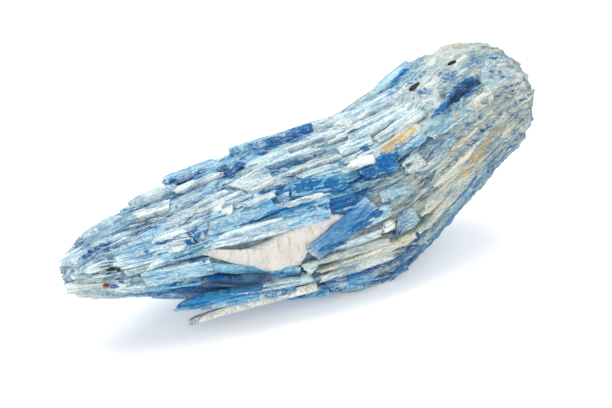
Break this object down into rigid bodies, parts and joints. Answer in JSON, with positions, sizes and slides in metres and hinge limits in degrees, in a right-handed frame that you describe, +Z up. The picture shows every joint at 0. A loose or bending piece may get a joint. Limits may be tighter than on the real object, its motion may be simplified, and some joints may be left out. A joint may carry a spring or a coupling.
{
  "type": "kyanite blade cluster",
  "caption": "Mineral hand specimen: a mass of flat blue kyanite blades grown side by side, with a lens of white quartz, lying on its side.",
  "frame": {"origin": "on the resting surface, under the middle of the whole part", "axes": "+X along the blades, from the loose tips to the blunt raised end; +Z up; -Y is the front, where the quartz shows"},
  "size_m": [0.1095, 0.0346, 0.0416],
  "materials": {
    "kyanite": "bladed kyanite, pale to deep blue, pearly on the cleavage faces and rough at the broken ends",
    "quartz": "massive white quartz, sugary, with faint tan veins"
  },
  "bodies": {
    "root": {"kyanite_blades": "kyanite", "quartz_lens": "quartz"}
  },
  "joints": []
}
